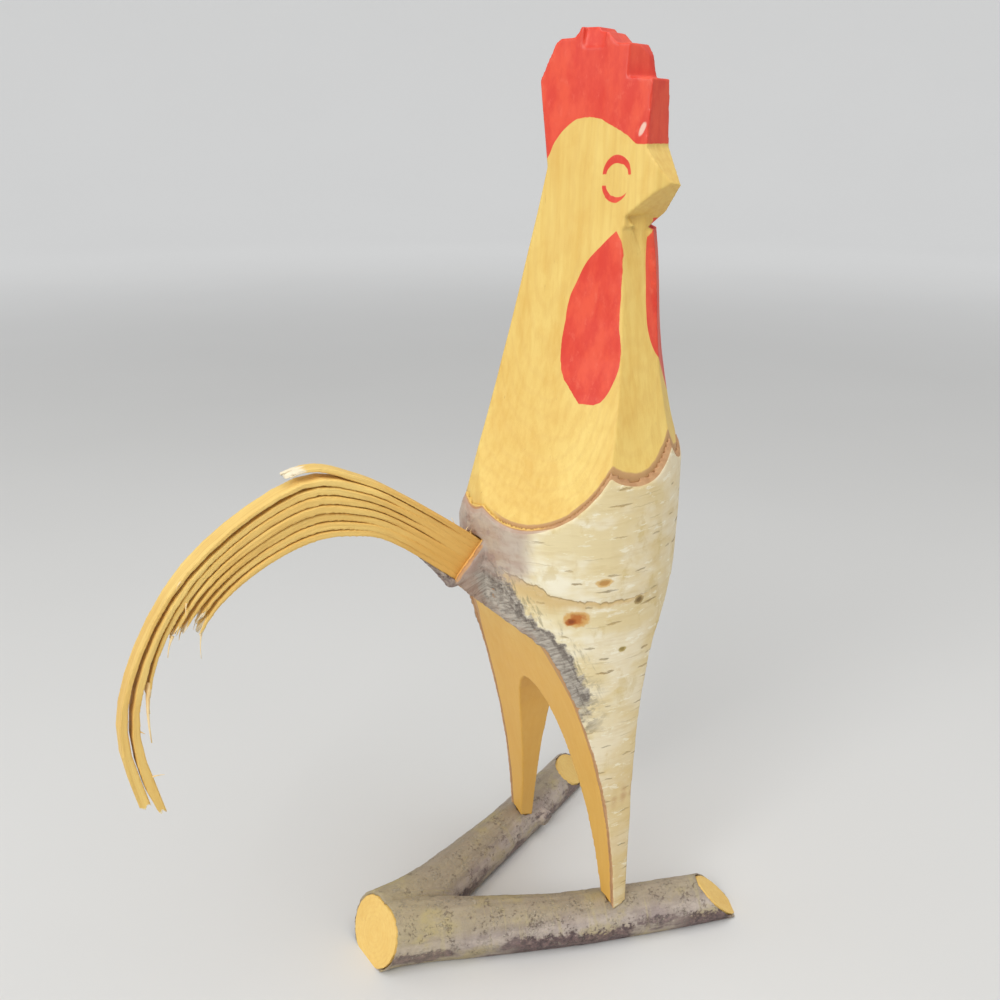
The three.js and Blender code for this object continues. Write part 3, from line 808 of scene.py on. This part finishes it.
def level_marks(b, girth, z, cell, keep, thick):
    """Short level marks scattered over the bark: 1 on a mark."""
    rough = b.noise(b.join(girth, z, 0.0), 0.6, 3)
    wavy = b.plus(z, b.times(b.noise(b.join(girth, z, 0.0), 0.12), 1.6), b.times(rough, 0.9))
    grid = b.join(b.math("DIVIDE", girth, cell[0]), b.math("DIVIDE", wavy, cell[1]), 0.0)
    cells = b.add("ShaderNodeTexVoronoi", {"Vector": grid, "Scale": 1.0}, voronoi_dimensions="2D").outputs
    away = b.split(b.vector("ABSOLUTE", b.vector("SUBTRACT", grid, cells["Position"])))
    chance = b.split(cells["Color"])
    length = b.plus(b.times(chance[1], 0.26), 0.12)
    along = b.band(away[0], length, b.times(length, 0.6))
    across = b.band(b.plus(away[1], b.times(away[0], 0.12)), thick, thick * 0.45)
    return b.times(along, across, b.band(chance[0], 1 - keep, 1.02 - keep))


# Marks on the near side of the bark: (place, (half width, half height), outer colour, inner colour)
BARK_SCARS = [
    (Vector((-17.3, -31.1, 131.1)), (4.2, 3.0), (218, 168, 92), (186, 104, 30)),
    (Vector((-18.8, -30.2, 130.2)), (1.9, 1.4), (176, 92, 24), (140, 66, 14)),
    (Vector((-9.8, -34.2, 143.1)), (2.8, 1.5), (222, 184, 116), (190, 138, 70)),
    (Vector((3.6, -35.4, 134.5)), (2.3, 1.5), (168, 140, 84), (118, 92, 44)),
    (Vector((-2.0, -34.5, 118.5)), (1.5, 0.9), (186, 164, 96), (150, 128, 66)),
    (Vector((22.0, 27.0, 126.0)), (3.4, 2.4), (214, 166, 92), (182, 112, 42)),
]


def birch_bark():
    material, b, shader, p = new_material("birch_bark")
    x, y, z = b.split(p)
    girth = b.times(b.math("ARCTAN2", y, x), LOG_RADIUS)
    _, depth = b.from_bark(x, y, z)

    # Faces cut by the knife: the jacket's edges, the mouth of the branch's sleeve and the shaved rear
    from_root = b.vector("SUBTRACT", p, BRANCH_ROOT)
    along_branch = b.vector("DOT_PRODUCT", from_root, BRANCH_WAY)
    off_branch = b.vector("LENGTH", b.vector("CROSS_PRODUCT", from_root, BRANCH_WAY))
    mouth = b.band(along_branch, BRANCH_LENGTH - 0.45, BRANCH_LENGTH - 0.2)
    mouth = b.times(mouth, b.band(off_branch, 12.4, 11.6), b.band(depth, -0.5, -1.2))
    rear = b.times(b.band(x, -23, -28), b.band(z, 148, 152))
    start = b.plus(b.times(rear, 0.4), 0.2)
    cut = b.math("MAXIMUM", b.band(depth, start, b.plus(start, 0.12)), mouth)
    bare_wood = b.times(rear, b.band(depth, 0.85, 0.95))
    shaved = b.times(rear, b.band(depth, 0.05, 0.2))

    # Cream papery layers, with painted shade that turns them tan towards the breast, the side away from the
    # key light, and the bark's own tan towards the feet
    broad = b.drawn(p, (0.035, 0.035, 0.06), detail=4, rough=0.6)
    blotch = b.drawn(p, (0.11, 0.11, 0.2), detail=4, rough=0.6)
    sheets = b.drawn(p, (0.07, 0.07, 0.6), detail=4, rough=0.6, bend=0.4)
    across = b.vector("DOT_PRODUCT", p, NEAR_WAY)
    # painted shade: the cream darkens to tan across the log towards the breast; the height band adds the
    # bark's real tan towards the feet
    shade_and_tan = b.times(b.band(across, -14, 34), 0.6)
    shade_and_tan = b.math("ADD", shade_and_tan, b.times(b.band(z, 110, 50), 0.4), clamp=True)
    cream = b.tones(broad, 0.42, 0.58, (248, 241, 216), (234, 218, 172))
    cream = b.mix(b.times(shade_and_tan, b.plus(b.times(blotch, 0.9), 0.25)), cream, tint(216, 184, 120))
    cream = b.stain(cream, b.band(sheets, 0.5, 0.66), 0.22, 206, 180, 122)
    stain = b.drawn(p, (0.1, 0.1, 0.07), shift=(3, 1, 9), detail=5, rough=0.65)
    cream = b.stain(cream, b.band(stain, 0.56, 0.66), 0.4, 206, 178, 104)
    flakes = b.drawn(p, (0.16, 0.16, 0.5), shift=(7, 3, 1), detail=5, rough=0.7)
    cream = b.stain(cream, b.band(flakes, 0.58, 0.64), 0.5, 253, 248, 228)

    # A loose layer with a tan layer below its lower edge, and a painted shadow line just under that edge
    wave = b.times(b.less(b.drawn(p, (0.2, 0.2, 0.05)), 0.5), 6)
    line = b.plus(b.times(b.band(across, 6, -28), PEEL_RISE), wave, PEEL_LOW)
    under = b.less(line, z)
    reach = b.plus(b.times(b.band(across, 12, -22), 9), 2.5)
    fading = b.band(under, reach, b.times(reach, 0.3))
    tan_zone = b.times(b.band(under, -0.15, 0.25), fading, b.band(across, 32, 12))
    layered = b.stain(cream, tan_zone, 0.72, 212, 176, 108)
    # painted shadow: a thin dark line just under the loose layer's edge
    peel_shadow = b.times(b.band(under, -0.1, 0.2), b.band(under, 0.9, 0.3), b.band(across, 30, 14))
    layered = b.mix(b.times(peel_shadow, 0.55, b.band(blotch, 0.36, 0.56)), layered, tint(150, 122, 80))

    # Dark level marks
    long_marks = level_marks(b, girth, z, (15, 9), 0.4, 0.055)
    short_marks = level_marks(b, b.plus(girth, 5.0), b.plus(z, 3.0), (8, 6), 0.3, 0.07)
    faint_marks = level_marks(b, b.plus(girth, 9.0), b.plus(z, 5.0), (19, 3.4), 0.45, 0.08)
    marks = b.math("MAXIMUM", long_marks, b.times(short_marks, 0.8))
    marked = b.stain(layered, faint_marks, 0.3, 176, 152, 100)
    mark_tone = b.tones(broad, 0.4, 0.6, (128, 108, 70), (172, 140, 86))
    marked = b.mix(b.times(marks, b.plus(blotch, 0.15)), marked, mark_tone)

    # Scars
    scarred = marked
    scars = 0.0
    for place, (wide, tall), outer, inner in BARK_SCARS:
        away = b.vector("LENGTH", b.stretch(b.vector("SUBTRACT", p, place), (1 / wide, 1 / wide, 1 / tall)))
        jagged = b.plus(away, b.times(b.less(b.noise(p, 0.5), 0.5), 0.9))
        scarred = b.mix(b.times(b.band(jagged, 1.1, 0.8), 0.9), scarred, tint(*outer))
        heart = b.band(jagged, 0.8, 0.35)
        scarred = b.mix(b.times(heart, 0.9), scarred, tint(*inner))
        scars = b.math("MAXIMUM", heart, scars)

    # Rough grey ridge that runs down from the tail
    edge = b.curve(z, RIDGE_EDGE, *RIDGE_SPAN)
    ragged = b.times(b.less(b.noise(p, 0.3, 5, 0.65), 0.5), 8)
    inside = b.plus(b.less(edge, x), ragged)
    ridge = b.times(b.band(inside, -0.5, 1.0), b.band(b.plus(z, b.times(ragged, 1.4)), 92, 104))
    along = b.vector("DOT_PRODUCT", p, RIDGE_WAY)
    over = b.vector("DOT_PRODUCT", p, RIDGE_ACROSS)
    strokes = b.join(b.times(over, 0.16), b.times(y, 0.3), b.times(along, 1.2))
    hairs = b.noise(strokes, detail=5, rough=0.7, bend=0.5)
    flow = b.noise(b.join(b.times(over, 0.7), b.times(y, 0.4), b.times(along, 0.1)), detail=4, rough=0.65)
    crumbs = bark_crumbs(b, p, 1.4, 0.3)
    grey = b.tones(hairs, 0.34, 0.64, (142, 132, 121), (196, 187, 173))
    grey = b.stain(grey, crumbs, 0.3, 104, 92, 83)
    border = b.times(b.band(inside, 0.2, 1.2), b.band(inside, 4.2, 1.6))
    crack = b.times(border, b.band(flow, 0.42, 0.56), b.band(z, 151, 145))
    grey = b.stain(grey, crack, 0.6, 84, 72, 64)
    grey = b.stain(grey, b.band(inside, 5, 9), 0.5, 168, 124, 100)
    root = b.times(b.band(b.plus(z, b.times(ragged, 0.5)), 139, 147), b.band(x, -27, -31))
    smooth_tone = b.tones(blotch, 0.4, 0.6, (188, 172, 158), (176, 150, 136))
    grey = b.mix(b.times(root, 0.85), grey, smooth_tone)
    stray = b.times(b.band(inside, -8, -1), b.band(flow, 0.52, 0.64), b.band(z, 98, 108))
    barked = b.stain(scarred, stray, 0.6, 150, 136, 100)
    island = b.times(b.band(inside, -7, 2), b.band(z, 114, 106), b.band(z, 84, 94))
    patchy = b.drawn(p, (0.16, 0.16, 0.26), detail=5, rough=0.7)
    ashen = b.times(island, b.band(patchy, 0.46, 0.56))
    ash_tone = b.tones(hairs, 0.4, 0.6, (122, 110, 92), (178, 166, 142))
    barked = b.mix(b.times(ashen, 0.8), barked, ash_tone)
    barked = b.mix(ridge, barked, grey)
    barked = b.mix(b.times(root, 0.85), barked, smooth_tone)

    # Brown inner bark on the knife cut, and bare wood where the rear is shaved thin
    cut_tone = b.mix(b.band(b.noise(p, 0.3), 0.35, 0.65), tint(184, 138, 96), tint(200, 156, 112))
    shaved_tone = b.tones(blotch, 0.4, 0.6, (196, 174, 156), (182, 152, 134))
    barked = b.mix(b.times(shaved, 0.85), barked, shaved_tone)
    skinned = b.mix(cut, barked, cut_tone)
    wood_tone = b.mix(blotch, tint(238, 204, 118), tint(224, 180, 92))
    colour = b.mix(bare_wood, skinned, wood_tone)
    gloss = b.plus(b.times(b.math("MAXIMUM", ridge, cut), 0.2), b.times(sheets, 0.25), 0.45)
    flat = b.plus(b.times(sheets, 0.35), b.times(marks, -0.35), b.times(scars, -0.4), b.times(peel_shadow, -0.4))
    rough = b.plus(b.times(hairs, b.less(1.5, root)), b.times(crumbs, -0.5), b.times(crack, -0.8))
    height = b.either(ridge, flat, rough)
    bare_cut = b.math("MAXIMUM", cut, shaved)
    surface(b, shader, colour, gloss, b.times(height, b.less(1.0, bare_cut)), 0.35)
    return material


# Dark stretches on the underside of the right arm: (from, to) forward of the log's middle
DARK_UNDERSIDE_RUNS = [(-36, 6), (23, 44)]
# Along and across the right arm and the left arm
ARM_WAYS = [(RIGHT_ARM_WAY, LEFT_ARM_WAY), ((0.29, 0.957, 0), (-0.415, 0.91, 0))]


def twig_bark():
    material, b, shader, p = new_material("twig_bark")
    x, y, z = b.split(p)
    left = b.band(y, 2, 6)
    run, aside = (b.either(left, *(b.vector("DOT_PRODUCT", p, way) for way in ways)) for ways in ARM_WAYS)
    arm = b.join(run, aside, z)
    streak = b.drawn(arm, (0.05, 0.45, 0.45), detail=5, rough=0.6)
    patch = b.drawn(arm, (0.06, 0.09, 0.09), detail=4, rough=0.6)
    fine = b.noise(p, 0.55, 5, 0.7)
    rings = b.drawn(arm, (0.4, 0.04, 0.04), detail=3)
    taupe = b.mix(b.times(b.band(streak, 0.38, 0.62), 0.7), tint(184, 170, 154), tint(152, 138, 130))
    mauve = b.times(b.band(patch, 0.5, 0.36), 0.45)
    taupe = b.mix(mauve, taupe, tint(164, 146, 146))
    mottle = b.band(b.noise(p, 0.26, 5, 0.7), 0.42, 0.62)
    taupe = b.stain(taupe, mottle, 0.4, 140, 126, 116)
    sunned = b.band(b.plus(z, b.times(b.less(fine, 0.5), 4)), 11.5, 15.5)
    taupe = b.stain(taupe, sunned, 0.55, 166, 152, 120)
    shine = b.times(b.band(z, 6.5, 9), b.band(z, 13.5, 11), b.band(patch, 0.4, 0.55))
    taupe = b.stain(taupe, shine, 0.5, 202, 188, 180)
    knuckle = b.band(b.vector("DISTANCE", p, KNUCKLE), 9, 4)
    khaki_level = b.plus(b.band(patch, 0.5, 0.66), b.times(knuckle, 0.9), b.times(b.band(x, -46, -64), 0.5))
    khaki = b.math("MULTIPLY", khaki_level, b.plus(b.times(fine, 0.8), 0.25), clamp=True)
    toned = b.stain(taupe, khaki, 0.85, 184, 168, 118)
    toned = b.stain(toned, b.band(rings, 0.58, 0.66), 0.35, 188, 174, 132)
    low = b.plus(z, b.times(b.less(fine, 0.5), 13), b.times(b.less(patch, 0.5), 8))
    runs = 0.0
    for start, end in DARK_UNDERSIDE_RUNS:
        soft = b.plus(x, b.times(b.less(fine, 0.5), 12))
        stretch = b.times(b.band(soft, start - 5, start + 5), b.band(soft, end + 2, end - 2))
        runs = b.math("MAXIMUM", stretch, runs)
    near_dark_runs = b.times(runs, b.less(1.0, left))
    patchy_dark = b.times(b.band(patch, 0.52, 0.44), 0.75)
    # the underside is painted darker along these stretches and in patches
    dark_underside = b.times(b.band(low, 9.8, 7.6), b.math("MAXIMUM", near_dark_runs, patchy_dark))
    underside_tone = b.tones(fine, 0.35, 0.65, (60, 42, 48), (128, 102, 100))
    dark = b.mix(b.times(dark_underside, 0.9), toned, underside_tone)
    pale = bark_crumbs(b, p, 1.0, 0.36)
    speckled = b.stain(dark, pale, 0.42, 204, 194, 172)
    dirt = bark_crumbs(b, b.stretch(p, shift=(31, 7, 3)), 0.9, 0.34)
    colour = b.stain(speckled, dirt, 0.5, 98, 80, 72)
    gloss = b.less(b.plus(b.times(fine, 0.2), 0.66), b.times(dark_underside, 0.2))
    height = b.plus(fine, b.times(streak, 0.5), b.times(pale, 0.35), b.times(dirt, -0.3))
    surface(b, shader, colour, gloss, height, 0.45)
    return material


def rough_bark():
    material, b, shader, p = new_material("rough_bark")
    fine = b.noise(p, 0.7, 5, 0.7)
    broad = b.noise(p, 0.2, 3)
    crumbs = bark_crumbs(b, p, 0.9, 0.5)
    dark = b.tones(broad, 0.4, 0.6, (92, 72, 74), (138, 118, 112))
    mixed = b.mix(b.band(fine, 0.42, 0.62), dark, tint(166, 150, 138))
    colour = b.stain(mixed, crumbs, 0.6, 196, 178, 158)
    gloss = b.plus(b.times(fine, 0.2), 0.68)
    surface(b, shader, colour, gloss, b.plus(fine, b.times(crumbs, 0.4)), 0.5)
    return material


def split_wood():
    material, b, shader, _ = new_material("split_wood")
    fibre = b.add("ShaderNodeAttribute", attribute_name="fibre").outputs["Vector"]
    torn = b.add("ShaderNodeAttribute", attribute_name="torn").outputs["Fac"]
    run = b.split(fibre)[2]
    grain = timber_grain(b, fibre, (246, 212, 126), (226, 178, 88), (180, 118, 52))
    split = b.drawn(fibre, (1.6, 1.6, 0.04), detail=5, rough=0.7)
    lined = b.stain(grain["Colour"], b.band(split, 0.52, 0.7), 0.3, 196, 136, 62)
    rich = b.stain(lined, b.band(run, 60, 16), 0.55, 222, 162, 72)
    colour = b.stain(rich, torn, 0.85, 250, 240, 214)
    height = b.plus(grain["Height"], b.times(split, -0.7))
    surface(b, shader, colour, b.plus(grain["Sheen"], 0.08), height, 0.3)
    return material


def sliver_wood():
    material, b, shader, p = new_material("sliver_wood")
    grain = timber_grain(b, p, (250, 232, 186), (232, 190, 118), (196, 140, 74))
    surface(b, shader, grain["Colour"], b.plus(grain["Sheen"], 0.1), grain["Height"], 0.1)
    return material


# Middle and facing of the twig's cut ends
CUT_ENDS = [
    (Vector((-82, 5, 9.4)), Vector((1, -0.1, 0)).normalized()),
    (Vector((45, -42, 7)), Vector((0.96, -0.28, 0)).normalized()),
    (Vector((45, 53.5, 6.6)), Vector((0.91, 0.42, 0)).normalized()),
]


def twig_wood():
    material, b, shader, p = new_material("twig_wood")
    x, y, _ = b.split(p)
    rounds = []
    for place, way in CUT_ENDS:
        away = b.vector("SUBTRACT", p, place)
        rounds.append(b.vector("LENGTH", b.vector("CROSS_PRODUCT", away, way)))
    arms = b.either(b.band(y, -1, 1), rounds[1], rounds[2])
    radial = b.either(b.band(x, -50, -52), arms, rounds[0])
    wavy = b.plus(radial, b.times(b.noise(p, 0.16), 2.4))
    rings = b.rings(wavy, TWIG_RING_RATE)
    lying = b.stretch(p, turn=(0, math.radians(90), 0))
    grain = timber_grain(b, lying, (246, 208, 120), (236, 190, 100), (206, 152, 76))
    strokes = b.drawn(p, (0.12, 0.9, 0.25), turn=(0, 0, 0.4), detail=4)
    ringed = b.stain(grain["Colour"], b.band(rings, 0.5, 1), 0.1, 218, 164, 82)
    sawn = b.stain(ringed, b.band(strokes, 0.5, 0.66), 0.2, 226, 174, 92)
    height = b.plus(grain["Height"], b.times(rings, 0.2), strokes)
    surface(b, shader, sawn, b.plus(grain["Sheen"], 0.06), height, 0.12)
    return material


wear(carved_bird, carved_birch())
wear(trunk_jacket, birch_bark())
wear(twig_skin, twig_bark())
strip_finish = split_wood()
for split_strip in split_strips:
    wear(split_strip, strip_finish)
wear(slivers, sliver_wood())
wear(underbark, rough_bark())
wear(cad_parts["fork_wood"], twig_wood())


# Stage, light and camera

FLOOR_REACH = 2.6
WALL_CURVE = 1.4
WALL_SWEEP = math.radians(80)
LAMP_AIM = Vector((0, 0, 0.15))
# Name, place, size and power of each lamp
LAMPS = [
    ("window_left", (-1.0, -0.6, 0.95), 0.8, 11),
    ("fill_right", (0.8, -0.9, 0.5), 1.2, 1.8),
    ("top_soft", (0.25, -0.25, 1.3), 1.0, 7),
    ("rear_left", (-0.9, 0.7, 0.5), 1.0, 2.5),
]
SKY_TONE = (0.95, 0.97, 1, 1)
SKY_STRENGTH = 0.4
CAMERA_PLACE = LOG_MIDDLE + Vector((-180.0, -255.9, 271.0))
CAMERA_TILT = math.radians(70)
CAMERA_TURN = math.radians(-31)
CAMERA_LENS = 36


def studio_floor():
    """A round pale sheet that lies flat under the bird and sweeps up all round."""
    shape = bmesh.new()
    centre = shape.verts.new((0, 0, 0))
    rim = shape.verts.new((FLOOR_REACH, 0, 0))
    shape.edges.new((centre, rim))
    wall = (FLOOR_REACH, 0, WALL_CURVE)
    bmesh.ops.spin(shape, geom=[rim], cent=wall, axis=(0, -1, 0), angle=WALL_SWEEP, steps=12)
    line = [*shape.verts, *shape.edges]
    bmesh.ops.spin(
        shape, geom=line, cent=(0, 0, 0), axis=(0, 0, 1), angle=math.tau, steps=64, use_merge=True,
    )
    bmesh.ops.remove_doubles(shape, verts=shape.verts, dist=1e-5)
    bmesh.ops.recalc_face_normals(shape, faces=shape.faces)
    floor = piece_from(shape, "studio_floor")
    smooth_faces(floor)
    wear(floor, studio_sheet())


def studio_sheet():
    """Pale paper; far from the bird it looks evenly lit to the camera."""
    material = bpy.data.materials.new("studio_sheet")
    material.use_nodes = True
    b = Bench(material.node_tree)
    shader = material.node_tree.nodes["Principled BSDF"]
    place = b.add("ShaderNodeTexCoord").outputs["Object"]
    pale = b.mix(b.noise(place, 3, 2), tint(214, 213, 210), tint(220, 219, 216))
    b.feed(shader.inputs["Base Color"], pale)
    shader.inputs["Roughness"].default_value = 0.85
    shader.inputs["Emission Color"].default_value = tint(206, 207, 208)
    seen = b.add("ShaderNodeLightPath").outputs["Is Camera Ray"]
    far = b.band(b.vector("LENGTH", place), 0.5, 2.4)
    b.feed(shader.inputs["Emission Strength"], b.times(seen, far, 0.55))
    return material


def lamp(name, place, size, power):
    light = bpy.data.lights.new(name, "AREA")
    light.size = size
    light.energy = power
    item = bpy.data.objects.new(name, light)
    item.location = place
    item.rotation_euler = (LAMP_AIM - Vector(place)).to_track_quat("-Z", "Y").to_euler()
    bpy.context.scene.collection.objects.link(item)


studio_floor()
for setting in LAMPS:
    lamp(*setting)

world = bpy.data.worlds.new("studio")
world.use_nodes = True
sky = world.node_tree.nodes["Background"].inputs
sky["Color"].default_value = SKY_TONE
sky["Strength"].default_value = SKY_STRENGTH
bpy.context.scene.world = world
bpy.context.scene.view_settings.view_transform = "Standard"

camera = bpy.data.objects.new("camera", bpy.data.cameras.new("camera"))
camera.data.lens = CAMERA_LENS
camera.data.sensor_width = 36
camera.data.clip_start = 0.01
camera.location = CAMERA_PLACE * MM
camera.rotation_euler = (CAMERA_TILT, 0, CAMERA_TURN)
bpy.context.scene.collection.objects.link(camera)
bpy.context.scene.camera = camera
